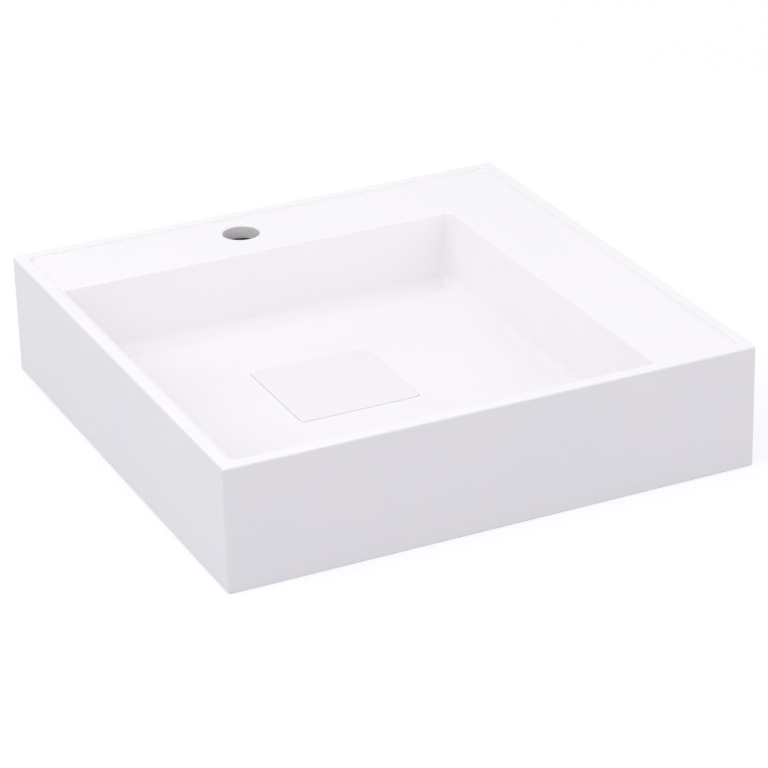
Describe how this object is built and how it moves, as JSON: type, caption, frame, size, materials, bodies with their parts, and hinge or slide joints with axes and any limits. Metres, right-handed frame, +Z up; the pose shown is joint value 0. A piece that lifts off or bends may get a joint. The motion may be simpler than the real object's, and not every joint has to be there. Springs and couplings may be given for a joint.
{
  "type": "wash basin",
  "caption": "Square wash basin cast in glossy white mineral, with a tap ledge behind an offset bowl, a side shelf, a lift-off square drain cover and a clamped strainer waste.",
  "frame": {"origin": "middle of the base, on the plane that the skirt stands on", "axes": "+Z up, -Y out of the front face, +Y towards the wall behind the tap ledge, +X towards the side shelf"},
  "size_m": [0.5, 0.5, 0.115],
  "materials": {
    "cast_mineral": "glossy white gel coat over mineral casting",
    "silicone": "translucent matt silicone",
    "stainless": "pressed and brushed",
    "seal_rubber": "black moulded rubber",
    "polypropylene": "moulded, fine matt",
    "brass": "turned"
  },
  "bodies": {
    "basin": {"basin_body": "cast_mineral", "waste_strainer": "stainless", "strainer_seal": "seal_rubber", "waste_body": "polypropylene", "body_seal": "seal_rubber", "screw_insert": "brass", "clamp_screw": "stainless"},
    "cover": {"drain_cover": "cast_mineral", "cover_feet": "silicone"}
  },
  "joints": [
    {"name": "cover_lift", "type": "slide", "parent": "basin", "child": "cover", "axis": [0, 0, 1], "range_m": [0, 0.12]}
  ]
}
